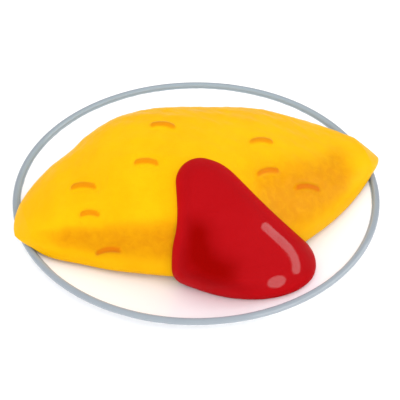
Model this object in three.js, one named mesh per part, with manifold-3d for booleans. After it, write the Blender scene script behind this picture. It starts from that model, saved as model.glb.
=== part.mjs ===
// A plate of omurice: an omelette wrapped into a long pointed roll, lying a little aslant on a
// round white plate, with a thick tongue of ketchup that runs from its ridge down to the plate.
//
// Millimetres, +Z up. The origin is the middle of the plate's foot, on the table. +Y points away
// from the diner and +X to the diner's right.

import * as THREE from "three";
import { mergeVertices } from "three/addons/utils/BufferGeometryUtils.js";
import Module from "manifold-3d";

const wasm = await Module();
wasm.setup();

const GAP = 0.3; // clearance between pieces that rest on each other
const DEG = Math.PI / 180;

// The plate: a flat well, a flange that sweeps up from it, and a round bead as its rim.
const PLATE_RADIUS = 105;
const PLATE_HEIGHT = 17;
const WELL_RADIUS = 58;
const WELL_TOP = 6.5;
const FOOT_HEIGHT = 2.5;
const FOOT_RADIUS = 55;
const FOOT_WIDTH = 5;
const FLANGE_RISE = 9.5;
const RIM_WALL = 2.6;
const BEAD_RADIUS = 1.9;
const BEAD_FROM = -118 * DEG; // where the flange's underside runs into the bead
const BEAD_TO = 195 * DEG; // where the bead runs into the flange's top
const BEAD_SETBACK = 0.6; // distance from there to the flange's first profile point
const FLANGE_STEPS = 9;
const BEAD_STEPS = 10;
const PLATE_SECTORS = 64;

// The omelette: a roll LENGTH long, its long axis turned by TURN from the X axis. Along it t
// goes from -1 at the left tip to 1 at the right tip, and three curves of t give its section:
// how far the front and the back bulge from the axis, and how high the ridge stands. Swells make
// a curve uneven around some t, by a share of its size.
const LENGTH = 217.5;
const TURN = 18.1 * DEG;
const CENTRE = { x: 4.3, y: -7.6 };
const FRONT = {
  size: 65.3,
  peak: 0.02,
  left: { ease: 0.35, power: 0.78 },
  right: { ease: 0.12, power: 0.69 },
  swells: [{ t: -0.97, spread: 0.15, share: 0.54 }],
};
const CROWN_SWELLS = [
  { t: -0.63, spread: 0.1, share: -0.03 },
  { t: 0.19, spread: 0.33, share: -0.076 },
];
const BACK = {
  size: 59.8,
  peak: 0.17,
  left: { ease: 2, power: 0.49 },
  right: { ease: 2, power: 0.77 },
  swells: CROWN_SWELLS,
};
const RIDGE = {
  size: 61,
  peak: -0.23,
  left: { ease: 3.2, power: 0.95 },
  right: { ease: 1.8, power: 0.96 },
  swells: CROWN_SWELLS,
};
const HEM = 0.22; // height of the widest line of the section, as a share of the ridge's
const CROWN_FULLNESS = 2.27; // superellipse powers of the section above and below that line
const BELLY_FULLNESS = 3;
const REST_RADIUS = 100.5; // where the underside has risen to the height of the rim
const STATIONS = 46;
const CROWN_STEPS = 30;
const BELLY_STEPS = 12;

// Two soft hollows run along the front, under the ridge, where the egg was folded in. Each
// follows an angle of the section, measured up from its front edge.
const HOLLOWS = [
  { depth: 1.5, from: -0.93, to: -0.1, angle: 21, climb: 23, start: -0.3, reach: -0.6, spread: 13 },
  { depth: 1.7, from: 0.1, to: 0.86, angle: 38, climb: 18, start: 0.35, reach: 0.4, spread: 20 },
];
const HOLLOW_FADE = 0.16;
const WAVE = { height: 0.5, along: 5.3, start: 0.6, across: 2.1, twist: 3.7 }; // slow unevenness

// Pieces on the omelette are laid out in a plane that faces a seated diner: x to the right and y
// up the plane, with depths measured towards the diner.
const SIGHT = 41.2 * DEG;
const UP = new THREE.Vector3(0, Math.sin(SIGHT), Math.cos(SIGHT));
const NEAR = new THREE.Vector3(0, -Math.cos(SIGHT), Math.sin(SIGHT));

// Small browned folds on the omelette: low arched ridges, each turned by lean.
const FOLD_RADIUS = 1.9;
const FOLD_ARCH = 1.6;
const FOLD_PROUD = 0.9;
const FOLD_STEPS = 7;
const FOLD_SIDES = 8;
const FOLD_CAP_STEPS = 3;
const FOLDS = [
  { x: -17.9, y: 45.4, length: 14.2, lean: -5 },
  { x: -25.8, y: 24.8, length: 13.6, lean: -2 },
  { x: -59.4, y: 12.3, length: 15.2, lean: 1 },
  { x: -55.6, y: -2.2, length: 11.6, lean: 0 },
  { x: -46.1, y: -21.7, length: 14.6, lean: 8 },
  { x: 35.9, y: 37.3, length: 14, lean: -1 },
  { x: 38.6, y: 20.2, length: 13.2, lean: 9 },
  { x: 60.9, y: 11.7, length: 15.4, lean: -3 },
];

// The ketchup: its outline is three round lobes, counter-clockwise, each an arc from one angle to
// another, joined by curves that leave and meet the arcs smoothly. leave and meet are the
// curve's handles, as shares of the distance to the next lobe.
const LOBES = [
  { x: 2.5, y: 14.5, radius: 12.9, from: 77, to: 185, leave: 0.7, meet: 0.5 }, // head, on the ridge
  { x: -3.7, y: -31, radius: 9, from: 180, to: 246, leave: 0.43, meet: 0.23 }, // heel, front left
  { x: 52.2, y: -28, radius: 12.8, from: 313, to: 411, leave: 0.75, meet: 0.24 }, // toe
];
const KETCHUP_HEIGHT = 8;
const KETCHUP_SHOULDER = 10.5; // width of its rounded edge
const KETCHUP_FILLET = 35; // how softly it bridges the corner between omelette and plate
const PILE_ANGLE = 52 * DEG; // it piles up towards the diner at this angle from the table
const PILE = new THREE.Vector3(0, -Math.cos(PILE_ANGLE), Math.sin(PILE_ANGLE));
const SWELLS = [
  { x: 54, y: -24, spread: 10.8, rise: 5 },
  { x: 47, y: -31.5, spread: 10, rise: 2.8 },
  { x: 33, y: -39, spread: 12, rise: 1.2 },
  { x: 14, y: -42, spread: 16, rise: 3 },
  { x: 4, y: -16, spread: 11, rise: -1.5 },
];
const KETCHUP_MIDDLE = { x: 12, y: -17 };
const KETCHUP_RINGS = [0.2, 0.4, 0.58, 0.72, 0.83, 0.91, 0.965, 1];
const KETCHUP_SECTORS = 60;
const KETCHUP_SINK = 1; // how far its edge starts inside what it lies on
const KETCHUP_ROOT = { omelette: 7, plate: 2.5 }; // depth of its trimmed underside

// ---- shared geometry ----

const clamp01 = (value) => Math.min(Math.max(value, 0), 1);

function smoothstep(from, to, value) {
  const k = clamp01((value - from) / (to - from));
  return k * k * (3 - 2 * k);
}

const bump = (distance, spread) => Math.exp(-((distance / spread) ** 2));

// |value|^power with the sign of value.
const signedPower = (value, power) => Math.sign(value) * Math.abs(value) ** power;

function solidFrom(geometry) {
  const bare = geometry.clone();
  bare.deleteAttribute("normal");
  bare.deleteAttribute("uv");
  const merged = mergeVertices(bare, 1e-3);
  const mesh = new wasm.Mesh({
    numProp: 3,
    vertProperties: merged.attributes.position.array,
    triVerts: new Uint32Array(merged.index.array),
  });
  return new wasm.Manifold(mesh);
}

function geometryFrom(solid) {
  const { vertProperties, triVerts } = solid.getMesh();
  const geometry = new THREE.BufferGeometry();
  geometry.setAttribute("position", new THREE.BufferAttribute(vertProperties, 3));
  geometry.setIndex(new THREE.BufferAttribute(triVerts, 1));
  geometry.computeVertexNormals();
  return geometry;
}

// The largest of the bodies that a cut leaves.
function largestBody(solid) {
  const bodies = solid.decompose();
  return bodies.reduce((best, body) => (body.volume() > best.volume() ? body : best));
}

// A closed body from rings of points between two end points. The rings turn so that faces point
// out when the body is walked from first to last.
function skinRings(first, rings, last) {
  const sides = rings[0].length;
  const points = [first, ...rings.flat(), last];
  const end = points.length - 1;
  const at = (ring, side) => 1 + ring * sides + (side % sides);
  const faces = [];
  for (let side = 0; side < sides; side++) {
    faces.push(0, at(0, side), at(0, side + 1));
    faces.push(end, at(rings.length - 1, side + 1), at(rings.length - 1, side));
  }
  for (let ring = 0; ring + 1 < rings.length; ring++) {
    for (let side = 0; side < sides; side++) {
      const [a, b] = [at(ring, side), at(ring + 1, side)];
      const [c, d] = [at(ring + 1, side + 1), at(ring, side + 1)];
      faces.push(a, b, c, a, c, d);
    }
  }
  const geometry = new THREE.BufferGeometry().setFromPoints(points);
  geometry.setIndex(faces);
  return geometry;
}

// ---- plate ----

// Height of the plate's upper face.
const plateTop = (radius) =>
  WELL_TOP + FLANGE_RISE * clamp01((radius - WELL_RADIUS) / (PLATE_RADIUS - WELL_RADIUS)) ** 2;

// A lathe profile of the plate's upper face, from the rim end in to the middle.
function upperFace(outerRadius, lift) {
  const profile = [];
  for (let step = 0; step <= FLANGE_STEPS; step++) {
    const radius = outerRadius + (step / FLANGE_STEPS) * (WELL_RADIUS - outerRadius);
    profile.push(new THREE.Vector2(radius, plateTop(radius) + lift));
  }
  profile.push(new THREE.Vector2(0, WELL_TOP + lift));
  return profile;
}

function plateGeometry() {
  const beadCentre = new THREE.Vector2(PLATE_RADIUS - BEAD_RADIUS, PLATE_HEIGHT - BEAD_RADIUS);
  const onBead = (angle) =>
    new THREE.Vector2(Math.cos(angle), Math.sin(angle)).multiplyScalar(BEAD_RADIUS).add(beadCentre);
  const footInner = FOOT_RADIUS - FOOT_WIDTH;
  const flangeEnd = onBead(BEAD_TO).x;
  const profile = [
    new THREE.Vector2(0, FOOT_HEIGHT),
    new THREE.Vector2(footInner, FOOT_HEIGHT),
    new THREE.Vector2(footInner, 0),
    new THREE.Vector2(FOOT_RADIUS, 0),
    new THREE.Vector2(FOOT_RADIUS, FOOT_HEIGHT),
  ];
  for (let step = 0; step < FLANGE_STEPS; step++) {
    const share = step / FLANGE_STEPS;
    const radius = WELL_RADIUS + share * (flangeEnd - WELL_RADIUS);
    const wall = THREE.MathUtils.lerp(WELL_TOP - FOOT_HEIGHT, RIM_WALL, share);
    profile.push(new THREE.Vector2(radius, plateTop(radius) - wall));
  }
  for (let step = 0; step <= BEAD_STEPS; step++) {
    profile.push(onBead(BEAD_FROM + (step / BEAD_STEPS) * (BEAD_TO - BEAD_FROM)));
  }
  profile.push(...upperFace(flangeEnd - BEAD_SETBACK, 0));
  return new THREE.LatheGeometry(profile, PLATE_SECTORS).rotateX(Math.PI / 2);
}

// The plate's body grown by the gap, as a cutter for what lies on it.
function plateCutter() {
  const outer = PLATE_RADIUS - 2 * BEAD_RADIUS;
  const profile = [new THREE.Vector2(0, 0), new THREE.Vector2(outer, 0), ...upperFace(outer, GAP)];
  return solidFrom(new THREE.LatheGeometry(profile, PLATE_SECTORS).rotateX(Math.PI / 2));
}

// ---- omelette ----

const omeletteAxis = new THREE.Vector2(Math.cos(TURN), Math.sin(TURN));

// A curve of t that is about 1 at its peak and falls to 0 at both tips.
function taper(t, { peak, left, right, swells }) {
  const { ease, power } = t < peak ? left : right;
  const share = (t - peak) / (t < peak ? 1 + peak : 1 - peak);
  const fall = (Math.hypot(share, ease) - ease) / (Math.hypot(1, ease) - ease);
  const uneven = swells.reduce((sum, swell) => sum + swell.share * bump(t - swell.t, swell.spread), 1);
  return Math.max(1 - fall, 0) ** power * uneven;
}

// Sizes of the section at t: the middle and half of its width, its heights, and its floor.
function section(t) {
  const front = FRONT.size * taper(t, FRONT);
  const back = BACK.size * taper(t, BACK);
  const height = RIDGE.size * taper(t, RIDGE);
  const x = CENTRE.x + (t * LENGTH * omeletteAxis.x) / 2;
  const y = CENTRE.y + (t * LENGTH * omeletteAxis.y) / 2;
  return {
    x,
    y,
    middle: (back - front) / 2,
    halfWidth: (back + front) / 2,
    height,
    hem: HEM * height,
    floor: restHeight(Math.hypot(x, y)) + GAP,
  };
}

// The height that the underside rests at: just over the plate, and clear of its bead.
function restHeight(radius) {
  const share = clamp01((radius - WELL_RADIUS) / (REST_RADIUS - WELL_RADIUS));
  return WELL_TOP + (PLATE_HEIGHT - WELL_TOP) * share ** 2;
}

// How far the surface lies inside the plain section, at t and an angle up from the front edge.
function relief(t, angle) {
  const swing = Math.sin(WAVE.along * t + WAVE.start) * Math.sin(WAVE.across * angle + WAVE.twist * t);
  let depth = WAVE.height * swing;
  for (const hollow of HOLLOWS) {
    const climbed = Math.max((t - hollow.start) / hollow.reach, 0) ** 3;
    const middle = (hollow.angle + hollow.climb * Math.min(climbed, 1)) * DEG;
    const along =
      smoothstep(hollow.from, hollow.from + HOLLOW_FADE, t) *
      (1 - smoothstep(hollow.to - HOLLOW_FADE, hollow.to, t));
    depth += hollow.depth * along * bump(angle - middle, hollow.spread * DEG);
  }
  return depth * taper(t, BACK);
}

// A point of the skin, grown outwards by swell. angle is 0 at the front edge, a quarter turn at
// the ridge and a half turn at the back edge, and goes on round the underside.
function omelettePoint(t, angle, swell) {
  const { x, y, middle, halfWidth, height, hem, floor } = section(t);
  const upper = angle <= Math.PI;
  const power = 2 / (upper ? CROWN_FULLNESS : BELLY_FULLNESS);
  const across = signedPower(Math.cos(angle), power);
  const rise = signedPower(Math.sin(angle), power);
  const inwards = (upper ? relief(t, angle) : 0) - swell;
  const v = middle - halfWidth * across + inwards * Math.cos(angle);
  const z = floor + hem + rise * (upper ? height - hem : hem) - inwards * Math.sin(angle);
  const point = new THREE.Vector3(
    x - v * omeletteAxis.y,
    y + v * omeletteAxis.x,
    z,
  );
  const lowest = restHeight(Math.hypot(point.x, point.y)) + GAP - swell;
  point.z = Math.max(point.z, lowest);
  return point;
}

function omeletteSkin(swell) {
  const angles = [];
  for (let step = 0; step < CROWN_STEPS; step++) {
    angles.push((step / CROWN_STEPS) * Math.PI);
  }
  for (let step = 0; step < BELLY_STEPS; step++) {
    angles.push((1 + step / BELLY_STEPS) * Math.PI);
  }
  const station = (index) => Math.sin((index / STATIONS - 0.5) * Math.PI);
  const ringAt = (index) => angles.map((angle) => omelettePoint(station(index), angle, swell));
  const rings = Array.from({ length: STATIONS - 1 }, (_, index) => ringAt(index + 1));
  return solidFrom(skinRings(omelettePoint(-1, 0, swell), rings, omelettePoint(1, 0, swell)));
}

// ---- laying things out on the omelette ----

const fromSight = (x, y, depth) =>
  new THREE.Vector3(x, 0, 0).addScaledVector(UP, y).addScaledVector(NEAR, depth);

// Whether a point lies in the omelette, with walls straight down to the plate below its hem.
function overOmelette(point) {
  const dx = point.x - CENTRE.x;
  const dy = point.y - CENTRE.y;
  const t = (dx * omeletteAxis.x + dy * omeletteAxis.y) / (LENGTH / 2);
  if (Math.abs(t) >= 1) return false;
  const { middle, halfWidth, height, hem, floor } = section(t);
  const across = Math.abs((dy * omeletteAxis.x - dx * omeletteAxis.y - middle) / halfWidth);
  const rise = Math.max((point.z - floor - hem) / (height - hem), 0);
  return across ** CROWN_FULLNESS + rise ** CROWN_FULLNESS < 1;
}

const underPlateTop = (point) => point.z < plateTop(Math.hypot(point.x, point.y));

// The depth at which a sight line first meets what inside() is true for.
function meet(x, y, inside) {
  const NEAREST = 90;
  const FARTHEST = -90;
  const STRIDE = 3;
  const HALVINGS = 16;
  let depth = NEAREST;
  while (depth > FARTHEST && !inside(fromSight(x, y, depth))) depth -= STRIDE;
  let [near, far] = [depth + STRIDE, depth];
  for (let halving = 0; halving < HALVINGS; halving++) {
    const half = (near + far) / 2;
    if (inside(fromSight(x, y, half))) far = half;
    else near = half;
  }
  return far;
}

// ---- folds ----

// A fold is a capsule bent along an arch and laid on the surface, mostly sunk in it.
function foldSolid({ x, y, length, lean }) {
  const straight = length - 2 * FOLD_RADIUS;
  const sizes = [FOLD_RADIUS, straight, FOLD_CAP_STEPS, FOLD_SIDES, FOLD_STEPS];
  const capsule = new THREE.CapsuleGeometry(...sizes);
  const position = capsule.attributes.position;
  const vertex = new THREE.Vector3();
  for (let index = 0; index < position.count; index++) {
    vertex.fromBufferAttribute(position, index);
    const along = -vertex.y;
    const arch = FOLD_ARCH * (0.5 - (2 * along / length) ** 2);
    const sightX = x + along * Math.cos(lean * DEG);
    const sightY = y + arch + along * Math.sin(lean * DEG) + vertex.x;
    const sunk = FOLD_RADIUS - FOLD_PROUD + foldRelief(x, y);
    const depth = meet(sightX, sightY, overOmelette) + vertex.z - sunk;
    const placed = fromSight(sightX, sightY, depth);
    position.setXYZ(index, placed.x, placed.y, placed.z);
  }
  return solidFrom(capsule);
}

// The relief under a fold's middle.
function foldRelief(x, y) {
  const point = fromSight(x, y, meet(x, y, overOmelette));
  const dx = point.x - CENTRE.x;
  const dy = point.y - CENTRE.y;
  const t = (dx * omeletteAxis.x + dy * omeletteAxis.y) / (LENGTH / 2);
  const { middle, halfWidth } = section(t);
  const across = (middle - (dy * omeletteAxis.x - dx * omeletteAxis.y)) / halfWidth;
  return relief(t, Math.acos(signedPower(across, CROWN_FULLNESS / 2)));
}

function omeletteGeometry() {
  const folded = FOLDS.map(foldSolid).reduce((whole, fold) => whole.add(fold), omeletteSkin(0));
  return geometryFrom(folded);
}

// ---- ketchup ----

const onLobe = (lobe, degrees) =>
  new THREE.Vector2(Math.cos(degrees * DEG), Math.sin(degrees * DEG))
    .multiplyScalar(lobe.radius)
    .add(new THREE.Vector2(lobe.x, lobe.y));

// The outline as a closed path: each lobe's arc, then the curve to the next lobe.
function ketchupOutline() {
  const path = new THREE.Path();
  LOBES.forEach((lobe, index) => {
    const next = LOBES[(index + 1) % LOBES.length];
    const leaving = onLobe(lobe, lobe.to);
    const meeting = onLobe(next, next.from);
    const span = leaving.distanceTo(meeting);
    const heading = (degrees) => new THREE.Vector2(-Math.sin(degrees * DEG), Math.cos(degrees * DEG));
    const first = heading(lobe.to).multiplyScalar(lobe.leave * span).add(leaving);
    const second = heading(next.from).multiplyScalar(-lobe.meet * span).add(meeting);
    path.absarc(lobe.x, lobe.y, lobe.radius, lobe.from * DEG, lobe.to * DEG, false);
    path.bezierCurveTo(first.x, first.y, second.x, second.y, meeting.x, meeting.y);
  });
  return path.getSpacedPoints(KETCHUP_SECTORS).slice(0, KETCHUP_SECTORS);
}

// Depth of what the ketchup lies on. fill, from 0 to 1, rounds the corner at the plate.
function bedDepth(x, y, fill) {
  const omelette = meet(x, y, overOmelette);
  const plate = meet(x, y, underPlateTop);
  const step = Math.abs(omelette - plate);
  return Math.max(omelette, plate) + (fill * (Math.hypot(step, KETCHUP_FILLET) - step)) / 2;
}

// Height of the ketchup along its pile direction, away from its edge.
function ketchupHeight(x, y) {
  return SWELLS.reduce(
    (sum, { x: sx, y: sy, spread, rise }) => sum + rise * bump(Math.hypot(x - sx, y - sy), spread),
    KETCHUP_HEIGHT,
  );
}

function insetFrom(outline, x, y) {
  const side = new THREE.Line3();
  const point = new THREE.Vector3(x, y, 0);
  const nearest = new THREE.Vector3();
  let least = Infinity;
  outline.forEach((corner, index) => {
    const next = outline[(index + 1) % outline.length];
    side.start.set(corner.x, corner.y, 0);
    side.end.set(next.x, next.y, 0);
    side.closestPointToPoint(point, true, nearest);
    least = Math.min(least, nearest.distanceTo(point));
  });
  return least;
}

function ketchupGeometry() {
  const outline = ketchupOutline();
  const surface = (x, y) => {
    const edge = 1 - clamp01(insetFrom(outline, x, y) / KETCHUP_SHOULDER);
    const roundness = Math.sqrt(1 - edge ** 2);
    const bed = fromSight(x, y, bedDepth(x, y, roundness));
    return bed.addScaledVector(PILE, roundness * ketchupHeight(x, y) - KETCHUP_SINK);
  };
  const root = (x, y) => {
    const omelette = meet(x, y, overOmelette) - KETCHUP_ROOT.omelette;
    const plate = meet(x, y, underPlateTop) - KETCHUP_ROOT.plate;
    return fromSight(x, y, Math.max(omelette, plate));
  };
  const { x: middleX, y: middleY } = KETCHUP_MIDDLE;
  const ring = (share, place) =>
    outline.map(({ x, y }) => place(middleX + share * (x - middleX), middleY + share * (y - middleY)));
  const rings = [
    ...KETCHUP_RINGS.map((share) => ring(share, surface)),
    ...KETCHUP_RINGS.toReversed().map((share) => ring(share, root)),
  ];
  const blank = skinRings(surface(middleX, middleY), rings, root(middleX, middleY));
  const trimmed = solidFrom(blank).subtract(omeletteSkin(GAP)).subtract(plateCutter());
  return geometryFrom(largestBody(trimmed));
}

// ---- assembly ----

const glazedWhite = new THREE.MeshStandardMaterial({ color: 0xf7f7f5, roughness: 0.15 });
const cookedEgg = new THREE.MeshStandardMaterial({ color: 0xfbc50f, roughness: 0.45 });
const ketchupRed = new THREE.MeshStandardMaterial({ color: 0xc31416, roughness: 0.15 });

function piece(name, geometry, material) {
  const mesh = new THREE.Mesh(geometry, material);
  mesh.name = name;
  return mesh;
}

const omurice = new THREE.Group();
omurice.add(
  piece("plate", plateGeometry(), glazedWhite),
  piece("omelette", omeletteGeometry(), cookedEgg),
  piece("ketchup", ketchupGeometry(), ketchupRed),
);

export default omurice;
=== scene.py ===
"""A plate of omurice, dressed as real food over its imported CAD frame.

A long pointed omelette roll lies a little aslant on a round white plate with a grey-blue rim, and
a thick tongue of ketchup runs from its ridge down to the plate. +Z is up, +Y points away from the
diner and +X to the diner's right. Shapes are worked out in millimetres and stored in metres.
"""

import math

import bpy
import numpy as np
from mathutils import Matrix, Vector


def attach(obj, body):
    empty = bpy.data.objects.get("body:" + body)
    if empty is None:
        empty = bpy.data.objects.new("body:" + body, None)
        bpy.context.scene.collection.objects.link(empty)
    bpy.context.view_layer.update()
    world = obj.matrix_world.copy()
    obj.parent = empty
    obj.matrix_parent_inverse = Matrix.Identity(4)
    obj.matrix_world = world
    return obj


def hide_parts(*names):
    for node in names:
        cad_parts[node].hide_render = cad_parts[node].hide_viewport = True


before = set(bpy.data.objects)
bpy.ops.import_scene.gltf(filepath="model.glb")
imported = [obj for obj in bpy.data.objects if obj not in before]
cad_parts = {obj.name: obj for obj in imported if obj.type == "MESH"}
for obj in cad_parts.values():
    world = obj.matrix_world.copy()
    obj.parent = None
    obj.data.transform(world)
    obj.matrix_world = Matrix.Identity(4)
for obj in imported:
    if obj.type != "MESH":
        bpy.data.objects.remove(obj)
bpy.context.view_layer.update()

MM = 0.001
GAP = 0.3  # clearance of the omelette's section over the plate
SINK = 0.2  # how far its underside still presses into the plate, so that no crack shows

# The plate: a flat well, a flange that sweeps up from it, and a round bead as its rim.
PLATE_RADIUS = 105
PLATE_HEIGHT = 17
WELL_RADIUS = 58
WELL_TOP = 6.5
FOOT_HEIGHT = 2.5
FOOT_RADIUS = 55
FOOT_WIDTH = 5
FOOT_ROUND = 0.9  # how far the rounding of the foot's edges reaches
FLANGE_RISE = 9.5
RIM_WALL = 2.6
BEAD_RADIUS = 1.9
BEAD_CENTRE = (PLATE_RADIUS - BEAD_RADIUS, PLATE_HEIGHT - BEAD_RADIUS)
BEAD_FROM = math.radians(-118)  # the bead's round, from under the flange to its top
BEAD_TO = math.radians(195)
PAINT_MIDDLE = math.radians(90)  # the painted part of the bead, as angles of its round
PAINT_HALF = math.radians(112)
PAINT_INWARDS = 0.9  # how far the paint runs in from the bead over the flange
PAINT_FEATHER = 1.5  # how fast the paint ends away from the bead's round
ON_TOP_SLACK = 0.01  # tells the points of the flange's top from those of its underside
UNPAINTED = -3  # the value of all that is far from the paint
INNER_LIGHTENING = (-0.2, 0.9)  # where the painted light on the paint's inner side starts and is full, in bead radii
PLATE_SECTORS = 320
FLANGE_STEPS = 48
BEAD_STEPS = 32
FILLET_STEPS = 6
TOP_STEPS = 68
TOP_INSET = 0.6  # gap between the bead and the top's outermost ring
TOP_MIDDLE = 2  # radius of its innermost ring
BASE_STEPS = 12
BASE_MIDDLE = 3  # radius of the innermost ring inside the foot
BASE_INSET = 2  # gap between the foot and the outermost one

# The omelette: a roll LENGTH long, its long axis turned by TURN from the X axis. Along it t goes
# from -1 at the left tip to 1 at the right tip, and three curves of t give its section. Each has
# its peak at one t, and on either side of it an ease and a power that shape its fall to the tip.
LENGTH = 217.5
TURN = math.radians(18.1)
CENTRE_X, CENTRE_Y = 4.3, -7.6
FRONT = {"size": 65.3, "peak": 0.02, "left": (0.35, 0.78), "right": (0.12, 0.69)}
BACK = {"size": 59.8, "peak": 0.17, "left": (2, 0.49), "right": (2, 0.77)}
RIDGE = {"size": 61, "peak": -0.23, "left": (3.2, 0.95), "right": (1.8, 0.96)}
FRONT["swells"] = ((-0.97, 0.15, 0.54),)  # t, spread, share of the size
BACK["swells"] = RIDGE["swells"] = ((-0.63, 0.1, -0.03), (0.19, 0.33, -0.076))
HEM = 0.22  # height of the widest line of the section, as a share of the ridge's
CROWN_FULLNESS = 2.27
BELLY_FULLNESS = 3
REST_RADIUS = 100.5
STATIONS = 340
CROWN_STEPS = 226
BELLY_STEPS = 44

# Soft hollows along the front. Each follows an angle of the section, up from its front edge.
LEFT_BEND = (-0.3, -0.6)  # the t from which a hollow starts to climb, and how far on it ends
RIGHT_BEND = (0.35, 0.4)
HOLLOWS = (
    {"depth": 1.5, "span": (-0.93, -0.1), "angle": 21, "climb": 23, "bend": LEFT_BEND, "spread": 13},
    {"depth": 1.7, "span": (0.1, 0.86), "angle": 38, "climb": 18, "bend": RIGHT_BEND, "spread": 20},
)
HOLLOW_FADE = 0.16
# Broad low swells of the whole crown: their depth, and how fast they turn along and around it.
UNEVEN = {"depth": 0.5, "along": 5.3, "start": 0.6, "around": 2.1, "twist": 3.7}
WRINKLES = ((16, 0.22), (7, 0.09), (3.2, 0.035))  # wavelength and height of the skin's waves
WRINKLE_SEED = 4
HEM_FADE = 0.35  # sine of the section's angle below which the wrinkles fade towards the hem
LAST_T = 0.999  # the tips' sections are tested a little short of their points

# Places on the food are laid out in a plane that faces a seated diner: x to the right and y up
# the plane, with depths measured towards the diner.
SIGHT = math.radians(41.2)
UP = np.array((0, math.sin(SIGHT), math.cos(SIGHT)))
NEAR = np.array((0, -math.cos(SIGHT), math.sin(SIGHT)))
RIGHT = np.array((1, 0, 0))

# Small browned folds: x, y, length and lean of each low arched ridge.
FOLDS = (
    (-17.9, 45.4, 14.2, -5),
    (-25.8, 24.8, 13.6, -2),
    (-59.4, 12.3, 15.2, 1),
    (-55.6, -2.2, 11.6, 0),
    (-46.1, -21.7, 14.6, 8),
    (35.9, 37.3, 14, -1),
    (38.6, 20.2, 13.2, 9),
    (60.9, 11.7, 15.4, -3),
)
FOLD_RADIUS = 1.9
FOLD_FOOT = 0.3  # how much wider than its radius a fold's foot is
FOLD_ARCH = 1.6
FOLD_PROUD = 0.9
FOLD_CREASE = 0.3  # depth of the dip that runs round each fold
CREASE_DISTANCE = 2.7  # between that dip and the fold's line
CREASE_SPREAD = 0.9
CREST_FADE = (1.0, 1.9)  # distances from the line over which the crest's brown fades out
FOLD_FACING = (0.05, 0.3)  # folds rise on skin that faces the diner, as cosines

# Bands of painted shade, with a browned tone, along the skin's front hollows, in t and degrees round
# the section like the hollows.
SHADE_BANDS = (
    {
        "shade_depth": 0.87,
        "span": (-0.96, 0.12),
        "angle": 19.6,
        "climb": 16,
        "bend": LEFT_BEND,
        "spread": 14,
    },
    {
        "shade_depth": 0.95,
        "span": (0.02, 0.86),
        "angle": 39.4,
        "climb": 20,
        "bend": RIGHT_BEND,
        "spread": 28.5,
    },
)
BAND_FADE = 0.2

# The ketchup's outline is three round lobes, counter-clockwise: centre, radius, the arc's two
# angles, and the handles of the curve to the next lobe as shares of the distance to it.
LOBES = (
    {"x": 2.5, "y": 14.5, "radius": 12.9, "arc": (77, 185), "leave": 0.7, "meet": 0.5},
    {"x": -3.7, "y": -31, "radius": 9, "arc": (180, 246), "leave": 0.43, "meet": 0.23},
    {"x": 52.2, "y": -28, "radius": 12.8, "arc": (313, 411), "leave": 0.75, "meet": 0.24},
)
LOBE_POINTS = 60
CURVE_POINTS = 90
KETCHUP_HEIGHT = 8
KETCHUP_SHOULDER = 10.5  # width of the edge over which it rounds off
KETCHUP_FILLET = 35  # how softly it passes from the omelette to the plate
KETCHUP_SINK = 1
KETCHUP_ROOT = {"omelette": 3, "plate": 1.5}  # how deep its hidden underside lies in each
KETCHUP_MIDDLE = (12, -17)
KETCHUP_SECTORS = 400
KETCHUP_RINGS = 110
RING_CROWDING = 1.8  # more than 1 draws the rings towards the outline
UNDERSIDE = slice(None, None, -6)  # the rings that the underside repeats, inwards
KETCHUP_SMOOTHING = 30
SMOOTHING_SHARE = 0.5
KEPT_RINGS = (0.62, 0.8)  # shares of the way out over which smoothing ends
KETCHUP_WAVES = ((21, 0.25), (9, 0.08))
KETCHUP_SEED = 9
WAVE_INSET = 10  # width of the edge over which the waves fade out
PILE_ANGLE = math.radians(52)  # the way in which the ketchup is piled on its bed
PILE = np.array((0, -math.cos(PILE_ANGLE), math.sin(PILE_ANGLE)))
SWELLS = (  # x, y, spread, rise
    (54, -24, 10.8, 5),
    (47, -31.5, 10, 2.8),
    (33, -39, 12, 1.2),
    (14, -42, 16, 3),
    (4, -16, 11, -1.5),
)
PAINTED_SHADE_SPOTS = (  # x, y, spread, strength of the painted shade, a darker red in the ketchup's lower left
    (1.5, -11.5, 7, 0.85),
    (1, -22, 8, 0.75),
    (4, -30, 9.5, 0.7),
    (15.2, -33.4, 8.3, 0.78),
)
SHADE_INSET = 8  # width of the edge over which the painted shade fades out
THIN_EDGE = 6.5  # width of the edge that is thin enough to look lighter
THIN_LEVEL = 0.5  # how much less of that shows where the surface is level; the steep flanks, where shade falls, get it as painted light

# Where the ketchup is wet and shines: a bent streak and a drop, on the toe.
STREAK = (
    (36, -9.9),
    (40.4, -13.9),
    (44.5, -18),
    (48, -22.2),
    (51, -26.9),
    (52.5, -30.8),
    (52.3, -33),
)
STREAK_HALF = 2.25
DROP = {"x": 41.7, "y": -38.7, "half_length": 4.9, "half_width": 2.8, "lean": math.radians(14)}
DROP_EDGE = 0.13  # softness of the drop's edge, as a share of its size
WET_EDGE = 0.5
FLANK_GLOSS = 0.5  # how wet its steep sides and its back are
FLANK_FACING = 0.22  # how little they face the diner, as a cosine

# ---- meshes ----


def clamp01(value):
    return np.clip(value, 0, 1)


def smoothstep(start, end, value):
    k = clamp01((value - start) / (end - start))
    return k * k * (3 - 2 * k)


def bump(distance, spread):
    return np.exp(-((distance / spread) ** 2))


def signed_power(value, power):
    return np.sign(value) * np.abs(value) ** power


WAVES_PER_LAYER = 7
WAVE_SHARE = 0.4  # of a layer's height, for each of its waves
WAVE_DENSITY = (0.7, 1.4)  # least and most, as shares of what the layer's wavelength gives


def waves(points, layers, seed):
    """A smooth uneven field at the points, from layers of (wavelength, height)."""
    random = np.random.default_rng(seed)
    total = np.zeros(points.shape[:-1])
    for wavelength, height in layers:
        for _ in range(WAVES_PER_LAYER):
            way = random.normal(size=3)
            density = random.uniform(*WAVE_DENSITY)
            way *= density * 2 * math.pi / (wavelength * np.linalg.norm(way))
            total += height * WAVE_SHARE * np.sin(points @ way + random.uniform(0, 2 * math.pi))
    return total


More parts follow.
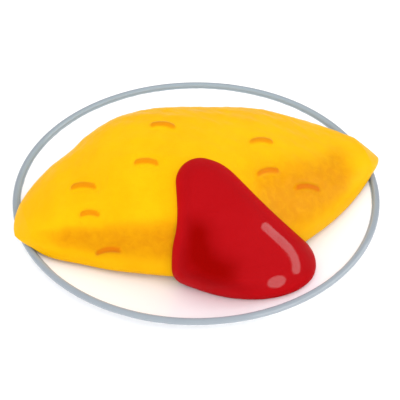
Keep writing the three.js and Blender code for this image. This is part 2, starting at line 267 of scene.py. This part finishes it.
def skin(name, first, rings, last):
    """A closed smooth mesh from rings of points between two end points."""
    count, sides = rings.shape[:2]
    points = np.concatenate([[first], rings.reshape(-1, 3), [last]]) * MM
    ring, side = np.meshgrid(np.arange(count - 1), np.arange(sides), indexing="ij")
    here = 1 + ring * sides + side
    beside = 1 + ring * sides + (side + 1) % sides
    quads = np.stack([here, here + sides, beside + sides, beside], -1).reshape(-1, 4)
    around = np.arange(sides)
    after = (around + 1) % sides
    start = np.stack([np.zeros_like(around), 1 + around, 1 + after], -1)
    back = 1 + (count - 1) * sides
    end = np.stack([np.full_like(around, len(points) - 1), back + after, back + around], -1)
    mesh = bpy.data.meshes.new(name)
    mesh.from_pydata(points.tolist(), [], start.tolist() + quads.tolist() + end.tolist())
    mesh.polygons.foreach_set("use_smooth", [True] * len(mesh.polygons))
    piece = bpy.data.objects.new(name, mesh)
    bpy.context.scene.collection.objects.link(piece)
    return piece


def paint(piece, name, first, values, last):
    """Stores one number for each vertex, for the materials to read."""
    attribute = piece.data.attributes.new(name, "FLOAT", "POINT")
    attribute.data.foreach_set("value", np.concatenate([[first], values.reshape(-1), [last]]))


def ring_normals(rings):
    """Outward unit normals of a tube of rings."""
    along = np.gradient(rings, axis=0)
    around = np.roll(rings, -1, axis=1) - np.roll(rings, 1, axis=1)
    normal = np.cross(along, around)
    return normal / np.maximum(np.linalg.norm(normal, axis=-1, keepdims=True), 1e-9)


# ---- plate ----


def plate_top(radius):
    share = clamp01((radius - WELL_RADIUS) / (PLATE_RADIUS - WELL_RADIUS))
    return WELL_TOP + FLANGE_RISE * share**2


def rest_height(radius):
    """Height of the omelette's underside: on the well, and from there up to the rim's height."""
    share = clamp01((radius - WELL_RADIUS) / (REST_RADIUS - WELL_RADIUS))
    return WELL_TOP + (PLATE_HEIGHT - WELL_TOP) * share**2


def fillet(before, corner, after, size):
    """Points of a rounded corner between two straight runs."""
    before, corner, after = (np.array(point, float) for point in (before, corner, after))
    start = corner + size * (before - corner) / np.linalg.norm(before - corner)
    end = corner + size * (after - corner) / np.linalg.norm(after - corner)
    share = np.linspace(0, 1, FILLET_STEPS)[:, None]
    return (1 - share) ** 2 * start + 2 * share * (1 - share) * corner + share**2 * end


def plate_profile():
    """Radius and height from the middle of the base round the rim to the middle of the top."""
    inner = FOOT_RADIUS - FOOT_WIDTH
    foot = ((0, FOOT_HEIGHT), (inner, FOOT_HEIGHT), (inner, 0), (FOOT_RADIUS, 0))
    foot += ((FOOT_RADIUS, FOOT_HEIGHT), (WELL_RADIUS, FOOT_HEIGHT))
    corners = [fillet(*foot[index - 1 : index + 2], FOOT_ROUND) for index in range(1, 5)]
    angle = np.linspace(BEAD_FROM, BEAD_TO, BEAD_STEPS)
    bead = np.stack([np.cos(angle), np.sin(angle)], -1) * BEAD_RADIUS + BEAD_CENTRE
    flange_end = bead[-1, 0]
    share = np.linspace(0, 1, FLANGE_STEPS, endpoint=False)
    under = WELL_RADIUS + share * (flange_end - WELL_RADIUS)
    wall = (WELL_TOP - FOOT_HEIGHT) * (1 - share) + RIM_WALL * share
    over = np.linspace(flange_end - TOP_INSET, TOP_MIDDLE, TOP_STEPS)
    inside = np.linspace(BASE_MIDDLE, inner - BASE_INSET, BASE_STEPS)
    return np.concatenate(
        [
            np.stack([inside, np.full_like(inside, FOOT_HEIGHT)], -1),
            *corners,
            np.stack([under, plate_top(under) - wall], -1),
            bead,
            np.stack([over, plate_top(over)], -1),
        ]
    )


def inside_paint(profile):
    """How far each profile point lies inside the rim's paint. Less than 0 is out."""
    out, up = (profile - BEAD_CENTRE).T
    aside = np.abs(np.angle(np.exp(1j * (np.arctan2(up, out) - PAINT_MIDDLE))))
    off_bead = np.abs(np.hypot(out, up) - BEAD_RADIUS)
    on_bead = (PAINT_HALF - aside) * BEAD_RADIUS - PAINT_FEATHER * off_bead
    on_top = (out < 0) & (profile[:, 1] > plate_top(profile[:, 0]) - ON_TOP_SLACK)
    on_flange = np.where(on_top, PAINT_INWARDS - off_bead, UNPAINTED)
    return np.maximum(np.maximum(on_bead, on_flange), UNPAINTED)


def inner_side(profile):
    """0 on the outer half of the bead, rising to 1 on the half that faces the food, which gets
    painted light against shade and the egg's yellow bounce.
    """
    return smoothstep(*INNER_LIGHTENING, (BEAD_CENTRE[0] - profile[:, 0]) / BEAD_RADIUS)


def make_plate():
    profile = plate_profile()
    turn = -np.arange(PLATE_SECTORS) * 2 * math.pi / PLATE_SECTORS
    radius, height = profile[:, :1], profile[:, 1:]
    height = np.broadcast_to(height, (len(profile), PLATE_SECTORS))
    rings = np.stack([radius * np.cos(turn), radius * np.sin(turn), height], -1)
    piece = skin("plate", (0, 0, FOOT_HEIGHT), rings, (0, 0, WELL_TOP))
    painted = np.broadcast_to(inside_paint(profile)[:, None], height.shape)
    paint(piece, "painted", UNPAINTED, painted, UNPAINTED)
    paint(piece, "inner", 1, np.broadcast_to(inner_side(profile)[:, None], height.shape), 1)
    return piece


# ---- omelette ----

AXIS_X, AXIS_Y = math.cos(TURN), math.sin(TURN)


def taper(t, curve):
    """A curve of t that is about 1 at its peak and falls to 0 at both tips."""
    peak = curve["peak"]
    before = t < peak
    ease = np.where(before, curve["left"][0], curve["right"][0])
    power = np.where(before, curve["left"][1], curve["right"][1])
    share = (t - peak) / np.where(before, 1 + peak, 1 - peak)
    fall = (np.hypot(share, ease) - ease) / (np.hypot(1, ease) - ease)
    uneven = 1 + sum(share * bump(t - at, spread) for at, spread, share in curve["swells"])
    return np.maximum(1 - fall, 0) ** power * uneven


def section(t):
    """Middle and half of the width, height, hem and floor of the section at t, and its place."""
    front = FRONT["size"] * taper(t, FRONT)
    back = BACK["size"] * taper(t, BACK)
    height = RIDGE["size"] * taper(t, RIDGE)
    x = CENTRE_X + t * LENGTH * AXIS_X / 2
    y = CENTRE_Y + t * LENGTH * AXIS_Y / 2
    floor = rest_height(np.hypot(x, y)) + GAP
    return (back - front) / 2, (back + front) / 2, height, HEM * height, floor, x, y


def along_band(t, band, fade):
    start, end = band["span"]
    return smoothstep(start, start + fade, t) * (1 - smoothstep(end - fade, end, t))


def from_band(t, angle, band):
    """Angle from a band's middle line, in radians."""
    start, reach = band["bend"]
    climbed = np.minimum(np.maximum((t - start) / reach, 0) ** 3, 1)
    return angle - np.radians(band["angle"] + band["climb"] * climbed)


def relief(t, angle):
    """How far the surface lies inside the plain section."""
    along = np.sin(UNEVEN["along"] * t + UNEVEN["start"])
    around = np.sin(UNEVEN["around"] * angle + UNEVEN["twist"] * t)
    depth = UNEVEN["depth"] * along * around
    for hollow in HOLLOWS:
        across = bump(from_band(t, angle, hollow), math.radians(hollow["spread"]))
        depth = depth + hollow["depth"] * along_band(t, hollow, HOLLOW_FADE) * across
    return depth * taper(t, BACK)


def omelette_points(t, angle):
    """Points of the roll. The angle runs from the front edge over the crown to the back."""
    middle, half_width, height, hem, floor, x, y = section(t)
    upper = angle <= math.pi
    power = 2 / np.where(upper, CROWN_FULLNESS, BELLY_FULLNESS)
    across = signed_power(np.cos(angle), power)
    rise = signed_power(np.sin(angle), power)
    inwards = np.where(upper, relief(t, angle), 0)
    v = middle - half_width * across + inwards * np.cos(angle)
    reach = np.where(upper, height - hem, hem + GAP + SINK)
    z = floor + hem + rise * reach - inwards * np.sin(angle)
    px, py = x - v * AXIS_Y, y + v * AXIS_X
    return np.stack([px, py, np.maximum(z, rest_height(np.hypot(px, py)) - SINK)], -1)


def from_fold(points, fold):
    """Distance from a fold's arched line, in the diner's sight plane."""
    x, y, length, lean = fold
    along = (points @ RIGHT - x) / math.cos(math.radians(lean))
    arch = FOLD_ARCH * (0.5 - (2 * along / length) ** 2)
    offset = points @ UP - y - arch - along * math.sin(math.radians(lean))
    past_end = np.maximum(np.abs(along) - (length / 2 - FOLD_RADIUS), 0)
    return np.hypot(past_end, offset)


def fold_relief(points, facing):
    """Height of the folds over the skin, and how browned they are."""
    height = np.zeros(facing.shape)
    crest = np.zeros(facing.shape)
    for fold in FOLDS:
        distance = from_fold(points, fold)
        ridge = FOLD_PROUD * np.maximum(1 - (distance / (FOLD_RADIUS + FOLD_FOOT)) ** 2, 0) ** 2
        dip = FOLD_CREASE * bump(distance - CREASE_DISTANCE, CREASE_SPREAD)
        height += (ridge - dip) * smoothstep(*FOLD_FACING, facing)
        brown = (1 - smoothstep(*CREST_FADE, distance)) * (facing > FOLD_FACING[0])
        crest = np.maximum(crest, brown)
    return height, crest


def shade_and_browning(t, angle):
    """How strong each band's painted shade and browned tone is: flat across the band, with soft
    edges.
    """
    amount = np.zeros(np.broadcast_shapes(t.shape, angle.shape))
    for band in SHADE_BANDS:
        across = from_band(t, angle, band) / math.radians(band["spread"])
        shade_depth = band["shade_depth"] * along_band(t, band, BAND_FADE) * np.exp(-(across**4))
        amount = np.maximum(amount, shade_depth)
    return amount


def make_omelette():
    t = np.sin((np.arange(1, STATIONS) / STATIONS - 0.5) * math.pi)[:, None]
    crown = np.arange(CROWN_STEPS) / CROWN_STEPS * math.pi
    belly = (1 + np.arange(BELLY_STEPS) / BELLY_STEPS) * math.pi
    angle = np.concatenate([crown, belly])[None, :]
    rings = omelette_points(t, angle)
    normals = ring_normals(rings)
    folds, crest = fold_relief(rings, normals @ NEAR)
    fade = taper(t, BACK) * smoothstep(0, HEM_FADE, np.sin(angle))
    height = folds + waves(rings, WRINKLES, WRINKLE_SEED) * fade
    rings = rings + normals * height[..., None]
    tips = omelette_points(np.array([-1.0, 1.0]), np.array([0.0, 0.0]))
    piece = skin("omelette", tips[0], rings, tips[1])
    paint(piece, "shade_and_browning", 0, shade_and_browning(t, angle) * (angle < math.pi), 0)
    paint(piece, "crest", 0, crest, 0)
    return piece


# ---- laying the ketchup over the omelette ----


def from_sight(x, y, depth):
    """Points in space from places in the sight plane and their depths."""
    return x[..., None] * RIGHT + y[..., None] * UP + depth[..., None] * NEAR


def over_omelette(point):
    """Whether points lie in the omelette, with walls straight down below its hem."""
    dx, dy = point[..., 0] - CENTRE_X, point[..., 1] - CENTRE_Y
    t = np.clip((dx * AXIS_X + dy * AXIS_Y) / (LENGTH / 2), -LAST_T, LAST_T)
    middle, half_width, height, hem, floor, _, _ = section(t)
    across = np.abs((dy * AXIS_X - dx * AXIS_Y - middle) / half_width)
    rise = np.maximum((point[..., 2] - floor - hem) / (height - hem), 0)
    return across**CROWN_FULLNESS + rise**CROWN_FULLNESS < 1


def under_plate_top(point):
    return point[..., 2] < plate_top(np.hypot(point[..., 0], point[..., 1]))


def meet(x, y, inside):
    """The depth at which each sight line first meets what inside() is true for."""
    nearest, farthest, stride, halvings = 90, -90, 3, 20
    depth = np.full(x.shape, float(nearest))
    for _ in range((nearest - farthest) // stride):
        depth = np.where(inside(from_sight(x, y, depth)), depth, depth - stride)
    near, far = depth + stride, depth
    for _ in range(halvings):
        half = (near + far) / 2
        hit = inside(from_sight(x, y, half))
        near, far = np.where(hit, near, half), np.where(hit, half, far)
    return far


def bed_depth(x, y, fill):
    """Depth of what the ketchup lies on. fill rounds the corner at the plate."""
    omelette = meet(x, y, over_omelette)
    plate = meet(x, y, under_plate_top)
    step = np.abs(omelette - plate)
    return np.maximum(omelette, plate) + fill * (np.hypot(step, KETCHUP_FILLET) - step) / 2


def on_lobe(lobe, degrees):
    """Points of a lobe's circle."""
    angle = np.radians(np.atleast_1d(degrees))[:, None]
    return np.hstack([np.cos(angle), np.sin(angle)]) * lobe["radius"] + (lobe["x"], lobe["y"])


def heading(degrees):
    """The way in which a circle runs on at an angle."""
    return np.array((-math.sin(math.radians(degrees)), math.cos(math.radians(degrees))))


def ketchup_outline():
    """Evenly spaced points round the three lobes and the curves between them."""
    path = []
    for index, lobe in enumerate(LOBES):
        following = LOBES[(index + 1) % len(LOBES)]
        arc = on_lobe(lobe, np.linspace(*lobe["arc"], LOBE_POINTS))
        leaving, meeting = arc[-1], on_lobe(following, following["arc"][0])[0]
        span = np.linalg.norm(meeting - leaving)
        first = leaving + heading(lobe["arc"][1]) * lobe["leave"] * span
        second = meeting - heading(following["arc"][0]) * lobe["meet"] * span
        k = np.linspace(0, 1, CURVE_POINTS)[1:-1, None]
        curve = (1 - k) ** 3 * leaving + 3 * k * (1 - k) ** 2 * first
        path += [arc, curve + 3 * k**2 * (1 - k) * second + k**3 * meeting]
    path = np.concatenate(path)
    path = np.concatenate([path, path[:1]])
    walked = np.concatenate([[0], np.cumsum(np.linalg.norm(np.diff(path, axis=0), axis=1))])
    even = np.arange(KETCHUP_SECTORS) / KETCHUP_SECTORS * walked[-1]
    return np.stack([np.interp(even, walked, path[:, axis]) for axis in (0, 1)], -1)


def inset_from(outline, x, y):
    """Distance of each place from the outline."""
    runs = np.roll(outline, -1, axis=0) - outline
    least = np.full(x.shape, np.inf)
    for (sx, sy), (rx, ry) in zip(outline, runs):
        share = clamp01(((x - sx) * rx + (y - sy) * ry) / (rx * rx + ry * ry))
        least = np.minimum(least, np.hypot(x - sx - share * rx, y - sy - share * ry))
    return least


def ketchup_surface(x, y, inset):
    """The top of the ketchup: a rounded edge, and swells over a rounded bed."""
    edge = 1 - clamp01(inset / KETCHUP_SHOULDER)
    roundness = np.sqrt(1 - edge**2)
    height = KETCHUP_HEIGHT + sum(
        rise * bump(np.hypot(x - sx, y - sy), spread) for sx, sy, spread, rise in SWELLS
    )
    bed = from_sight(x, y, bed_depth(x, y, roundness))
    return bed + PILE * (roundness * height - KETCHUP_SINK)[..., None]


def wetness(x, y):
    """1 on the streak and the drop, 0 away from them."""
    near = np.full(x.shape, np.inf)
    for (ax, ay), (bx, by) in zip(STREAK, STREAK[1:]):
        run = math.hypot(bx - ax, by - ay)
        share = clamp01(((x - ax) * (bx - ax) + (y - ay) * (by - ay)) / run**2)
        near = np.minimum(near, np.hypot(x - ax - share * (bx - ax), y - ay - share * (by - ay)))
    streak = 1 - smoothstep(STREAK_HALF - WET_EDGE, STREAK_HALF + WET_EDGE, near)
    dx, dy = x - DROP["x"], y - DROP["y"]
    along = dx * math.cos(DROP["lean"]) + dy * math.sin(DROP["lean"])
    aside = dy * math.cos(DROP["lean"]) - dx * math.sin(DROP["lean"])
    out = np.hypot(along / DROP["half_length"], aside / DROP["half_width"])
    return np.maximum(streak, 1 - smoothstep(1 - DROP_EDGE, 1 + DROP_EDGE, out))


def ketchup_root(x, y):
    """The hidden underside, inside the omelette and the plate."""
    omelette = meet(x, y, over_omelette) - KETCHUP_ROOT["omelette"]
    plate = meet(x, y, under_plate_top) - KETCHUP_ROOT["plate"]
    return from_sight(x, y, np.maximum(omelette, plate))


def smoothed(rings, rounds):
    """The rings with small creases evened out. The outermost rings keep their place."""
    steps = len(rings)
    keep = smoothstep(*KEPT_RINGS, np.arange(steps) / (steps - 1))[1:-1, None, None]
    for _ in range(rounds):
        beside = (np.roll(rings, 1, axis=1) + np.roll(rings, -1, axis=1))[1:-1]
        even = (rings[:-2] + rings[2:] + beside) / 4
        rings = rings.copy()
        rings[1:-1] += (1 - keep) * SMOOTHING_SHARE * (even - rings[1:-1])
    return rings


def paint_ketchup(piece, x, y, inset, normals):
    """Where it has painted shade, where its thin edge and steep flanks are painted lighter, and
    where it is wet.
    """
    # Painted shade: a darker red in the ketchup's lower left, fading out at the edge.
    shade = sum(shade_depth * bump(np.hypot(x - sx, y - sy), spread) for sx, sy, spread, shade_depth in PAINTED_SHADE_SPOTS)
    shade = shade * smoothstep(0, SHADE_INSET, inset)
    # A lighter thin edge, made stronger on steep flanks as painted light where shade falls.
    thin_and_lit = (1 - smoothstep(0, THIN_EDGE, inset)) * (1 - THIN_LEVEL * normals[..., 2])
    flank = 1 - smoothstep(0, FLANK_FACING, normals @ NEAR)
    wet = np.maximum(wetness(x, y), FLANK_GLOSS * flank)
    paint(piece, "shade_depth", shade[0, 0], np.concatenate([shade, shade[UNDERSIDE]]), shade[0, 0])
    paint(piece, "thin_and_lit", 0, np.concatenate([thin_and_lit, thin_and_lit[UNDERSIDE]]), 0)
    paint(piece, "wet", 0, np.concatenate([wet, 0 * wet[UNDERSIDE]]), 0)


def make_ketchup():
    outline = ketchup_outline()
    middle = np.array(KETCHUP_MIDDLE, float)
    share = 1 - (1 - np.linspace(0, 1, KETCHUP_RINGS + 1)[1:]) ** RING_CROWDING
    flat = middle + share[:, None, None] * (outline - middle)
    x, y = flat[..., 0], flat[..., 1]
    inset = inset_from(outline, x, y)
    top = smoothed(ketchup_surface(x, y, inset), KETCHUP_SMOOTHING)
    normals = ring_normals(top)
    uneven = waves(top, KETCHUP_WAVES, KETCHUP_SEED) * smoothstep(0, WAVE_INSET, inset)
    top = top + normals * uneven[..., None]
    root = ketchup_root(x[UNDERSIDE], y[UNDERSIDE])
    first = top[0].mean(axis=0)
    piece = skin("ketchup", first, np.concatenate([top, root]), root[-1].mean(axis=0))
    paint_ketchup(piece, x, y, inset, normals)
    return piece


# ---- materials ----

MOST = (0.3, 0.7)  # the values between which most of a noise lies
COLOUR_A, COLOUR_B, COLOUR_OUT = 6, 7, 2  # the Mix node's sockets for colours


class Recipe:
    """A material under construction, in object coordinates (metres)."""

    def __init__(self, name):
        self.material = bpy.data.materials.new(name)
        self.material.use_nodes = True
        self.tree = self.material.node_tree
        self.shader = self.tree.nodes["Principled BSDF"]
        self.place = self.tree.nodes.new("ShaderNodeTexCoord").outputs["Object"]

    def set(self, **values):
        for name, value in values.items():
            self.shader.inputs[name.replace("_", " ")].default_value = value

    def link(self, output, name):
        self.tree.links.new(output, self.shader.inputs[name])

    def node(self, kind, inputs, output=0, **settings):
        node = self.tree.nodes.new(kind)
        for name, value in settings.items():
            setattr(node, name, value)
        for key, value in inputs.items():
            if isinstance(value, bpy.types.NodeSocket):
                self.tree.links.new(value, node.inputs[key])
            else:
                node.inputs[key].default_value = value
        return node.outputs[output]

    def noise(self, size_mm, detail=3.0, roughness=0.5, distortion=0.0):
        """Smooth noise whose features are about size_mm wide."""
        inputs = {"Vector": self.place, "Scale": 1 / (size_mm * MM), "Detail": detail}
        inputs.update({"Roughness": roughness, "Distortion": distortion})
        return self.node("ShaderNodeTexNoise", inputs)

    def attribute(self, name):
        return self.node("ShaderNodeAttribute", {}, "Fac", attribute_name=name)

    def math(self, operation, a, b, clamp=False):
        return self.node("ShaderNodeMath", {0: a, 1: b}, operation=operation, use_clamp=clamp)

    def remap(self, value, old, new):
        inputs = {"Value": value, "From Min": old[0], "From Max": old[1]}
        inputs.update({"To Min": new[0], "To Max": new[1]})
        return self.node("ShaderNodeMapRange", inputs)

    def mix(self, share, a, b):
        inputs = {"Factor": share, COLOUR_A: a, COLOUR_B: b}
        return self.node("ShaderNodeMix", inputs, COLOUR_OUT, data_type="RGBA")

    def bump(self, height, distance_mm, normal=None):
        inputs = {"Height": height, "Distance": distance_mm * MM, "Strength": 1.0}
        if normal is not None:
            inputs["Normal"] = normal
        return self.node("ShaderNodeBump", inputs)


def linear(red, green, blue):
    """A colour from its 8-bit sRGB numbers."""
    parts = []
    for part in (red, green, blue):
        share = part / 255
        parts.append(share / 12.92 if share <= 0.04045 else ((share + 0.055) / 1.055) ** 2.4)
    return (*parts, 1.0)


GLAZE_WHITE = linear(247, 249, 254)
BARE_CLAY = linear(228, 222, 212)
RIM_BLUE = linear(139, 147, 155)
RIM_BLUE_THIN = linear(148, 156, 163)
# The lightest, bluest grey is painted light on the bead's inner side.
RIM_BLUE_LIT_INNER = linear(155, 171, 182)
UNGLAZED = (0.2 * MM, 0.5 * MM)  # heights over which the foot's bare clay passes into glaze
CLAY_ROUGHNESS = 0.6


def plate_material():
    recipe = Recipe("glazed_porcelain")
    recipe.set(Roughness=0.1, IOR=1.5)
    height = recipe.node("ShaderNodeSeparateXYZ", {"Vector": recipe.place}, "Z")
    wander = recipe.remap(recipe.noise(6), MOST, (-0.15, 0.15))
    reach = recipe.math("ADD", recipe.attribute("painted"), wander)
    band = recipe.remap(reach, (-0.12, 0.12), (0, 1))
    brushed = recipe.mix(recipe.noise(9, detail=5, roughness=0.65), RIM_BLUE, RIM_BLUE_THIN)
    # Painted light: the bead's inner side, facing the food, is painted lighter and bluer against
    # shade and the egg's yellow bounce.
    brushed = recipe.mix(recipe.attribute("inner"), brushed, RIM_BLUE_LIT_INNER)
    unglazed = recipe.remap(height, UNGLAZED, (1, 0))
    body = recipe.mix(unglazed, GLAZE_WHITE, BARE_CLAY)
    recipe.link(recipe.mix(band, body, brushed), "Base Color")
    pooled = recipe.remap(recipe.noise(14, detail=2), MOST, (0.07, 0.14))
    bare = recipe.math("MULTIPLY", unglazed, CLAY_ROUGHNESS)
    recipe.link(recipe.math("MAXIMUM", pooled, bare), "Roughness")
    recipe.link(recipe.bump(recipe.noise(11, detail=2), 0.12), "Normal")
    return recipe.material


EGG_YELLOW = linear(225, 165, 2)
EGG_PALE = linear(228, 172, 5)
# A browned orange, used for the bands of painted shade and for the freckles. The darker crest colour
# is for fold crests inside those bands.
EGG_SHADE_AND_BROWN = linear(202, 133, 3)
CREST = linear(208, 130, 3)
CREST_SHADED = linear(196, 106, 4)


def egg_material():
    recipe = Recipe("cooked_egg")
    recipe.set(Roughness=0.42, IOR=1.4, Specular_IOR_Level=0.04)
    recipe.set(Subsurface_Weight=0.25, Subsurface_Radius=(1.0, 0.55, 0.12))
    recipe.set(Subsurface_Scale=3 * MM)
    recipe.set(Coat_Weight=0.015, Coat_Roughness=0.22, Coat_IOR=1.45)
    broad = recipe.remap(recipe.noise(22, detail=4, roughness=0.6), (0.35, 0.65), (0, 1))
    yellow = recipe.mix(broad, EGG_YELLOW, EGG_PALE)
    lacy = recipe.noise(5, detail=6, roughness=0.62, distortion=0.6)
    # Painted shade with a browned tone along the front hollows, broken up by lacy noise.
    bands = recipe.attribute("shade_and_browning")
    patchy = recipe.remap(lacy, MOST, (0.75, 1.2))
    shade_and_toast = recipe.math("MULTIPLY", bands, patchy, clamp=True)
    cooked = recipe.mix(shade_and_toast, yellow, EGG_SHADE_AND_BROWN)
    freckle = recipe.remap(recipe.noise(2.4, detail=2), (0.68, 0.8), (0, 0.22))
    cooked = recipe.mix(freckle, cooked, EGG_SHADE_AND_BROWN)
    crest_colour = recipe.mix(bands, CREST, CREST_SHADED)
    recipe.link(recipe.mix(recipe.attribute("crest"), cooked, crest_colour), "Base Color")
    recipe.link(recipe.remap(recipe.noise(8, detail=3), MOST, (0.36, 0.5)), "Roughness")
    soft = recipe.bump(recipe.noise(6, detail=3), 0.35)
    pores = recipe.bump(recipe.noise(1.1, detail=2), 0.06, soft)
    recipe.link(pores, "Normal")
    return recipe.material


KETCHUP_RED = linear(158, 12, 18)
# A darker red for the painted shade and for the pulp specks.
KETCHUP_SHADE_AND_PULP = linear(131, 2, 1)
# A lighter red for the thin edge, and painted light on the steep flanks.
KETCHUP_THIN_AND_LIT = linear(180, 11, 18)


def ketchup_material():
    recipe = Recipe("ketchup_sauce")
    recipe.set(Roughness=0.5, IOR=1.3, Specular_IOR_Level=0.02)
    recipe.set(Subsurface_Weight=0.15, Subsurface_Radius=(1.0, 0.15, 0.1))
    recipe.set(Subsurface_Scale=2 * MM)
    recipe.set(Coat_Roughness=0.12, Coat_IOR=1.4)
    # Painted shade, a darker red, with a little noise.
    drift = recipe.remap(recipe.noise(9), MOST, (-0.08, 0.08))
    shade_depth = recipe.math("ADD", recipe.attribute("shade_depth"), drift)
    red = recipe.mix(recipe.attribute("thin_and_lit"), KETCHUP_RED, KETCHUP_THIN_AND_LIT)
    colour = recipe.mix(recipe.math("MAXIMUM", shade_depth, 0.0, clamp=True), red, KETCHUP_SHADE_AND_PULP)
    pulp = recipe.remap(recipe.noise(1.3, detail=2), (0.6, 0.8), (0, 0.25))
    recipe.link(recipe.mix(pulp, colour, KETCHUP_SHADE_AND_PULP), "Base Color")
    recipe.link(recipe.remap(recipe.noise(3), MOST, (0.48, 0.56)), "Roughness")
    recipe.link(recipe.attribute("wet"), "Coat Weight")
    recipe.link(recipe.bump(recipe.noise(2.2, detail=3), 0.05), "Normal")
    return recipe.material


TABLE_PALE = linear(246, 246, 246)
TABLE_PALER = linear(250, 250, 250)


def floor_material():
    recipe = Recipe("pale_table")
    recipe.set(Roughness=0.7)
    tone = recipe.mix(recipe.noise(60, detail=3), TABLE_PALE, TABLE_PALER)
    recipe.link(tone, "Base Color")
    recipe.link(recipe.bump(recipe.noise(1.5), 0.02), "Normal")
    return recipe.material


# ---- stage ----

CAMERA_LENS = 100
CAMERA_DISTANCE = 646.6
CAMERA_AIM = (2.2, 0.9, 6)
FLOOR_SIZE = 6.0  # in metres, as the next two values are
FLOOR_DROP = 0.0002
LIGHT_DISTANCE = 1.2
WORLD_STRENGTH = 1.2
KEY_RADIANCE = 2.7
CARD_RADIANCE = 3.25


def make_camera():
    camera = bpy.data.objects.new("camera", bpy.data.cameras.new("camera"))
    camera.data.lens = CAMERA_LENS
    away = Vector((0, -math.cos(SIGHT), math.sin(SIGHT)))
    camera.location = (away * CAMERA_DISTANCE + Vector(CAMERA_AIM)) * MM
    camera.rotation_euler = (math.pi / 2 - SIGHT, 0, 0)
    bpy.context.scene.collection.objects.link(camera)
    bpy.context.scene.camera = camera


def make_floor():
    half = FLOOR_SIZE / 2
    corners = [(-half, -half, -FLOOR_DROP), (half, -half, -FLOOR_DROP)]
    corners += [(half, half, -FLOOR_DROP), (-half, half, -FLOOR_DROP)]
    mesh = bpy.data.meshes.new("floor")
    mesh.from_pydata(corners, [], [(0, 1, 2, 3)])
    floor = bpy.data.objects.new("floor", mesh)
    floor.data.materials.append(floor_material())
    bpy.context.scene.collection.objects.link(floor)


def softbox(name, azimuth, elevation, size, radiance, highlight=False):
    """A soft light that faces the food. A highlight shows in gloss alone, any other never."""
    width, height = size
    light = bpy.data.lights.new(name, "AREA")
    light.shape = "RECTANGLE"
    light.size, light.size_y = width, height
    light.energy = radiance * width * height * math.pi
    lamp = bpy.data.objects.new(name, light)
    a, e = math.radians(azimuth), math.radians(elevation)
    way = Vector((math.sin(a) * math.cos(e), -math.cos(a) * math.cos(e), math.sin(e)))
    facing = way.to_track_quat("Z", "Y").to_matrix().to_4x4()
    lamp.matrix_world = Matrix.Translation(way * LIGHT_DISTANCE) @ facing
    lamp.visible_diffuse = not highlight
    lamp.visible_glossy = highlight
    bpy.context.scene.collection.objects.link(lamp)


def make_lights():
    world = bpy.data.worlds.new("studio")
    bpy.context.scene.world = world
    world.use_nodes = True
    background = world.node_tree.nodes["Background"]
    background.inputs["Color"].default_value = (1, 1, 1, 1)
    background.inputs["Strength"].default_value = WORLD_STRENGTH
    world.cycles_visibility.glossy = False
    softbox("key", 14, 46, (0.9, 0.9), KEY_RADIANCE)
    softbox("streak_card", 84, 22, (1.12, 0.66), CARD_RADIANCE, highlight=True)
    softbox("drop_card", 43, 18, (0.5, 0.85), CARD_RADIANCE, highlight=True)


def dress(piece, material, node):
    """Gives a piece its material and stands it in for its node."""
    piece.data.materials.append(material)
    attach(piece, "root")
    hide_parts(node)


make_camera()
make_floor()
make_lights()
bpy.context.scene.view_settings.view_transform = "Standard"
dress(make_plate(), plate_material(), "plate")
dress(make_omelette(), egg_material(), "omelette")
dress(make_ketchup(), ketchup_material(), "ketchup")
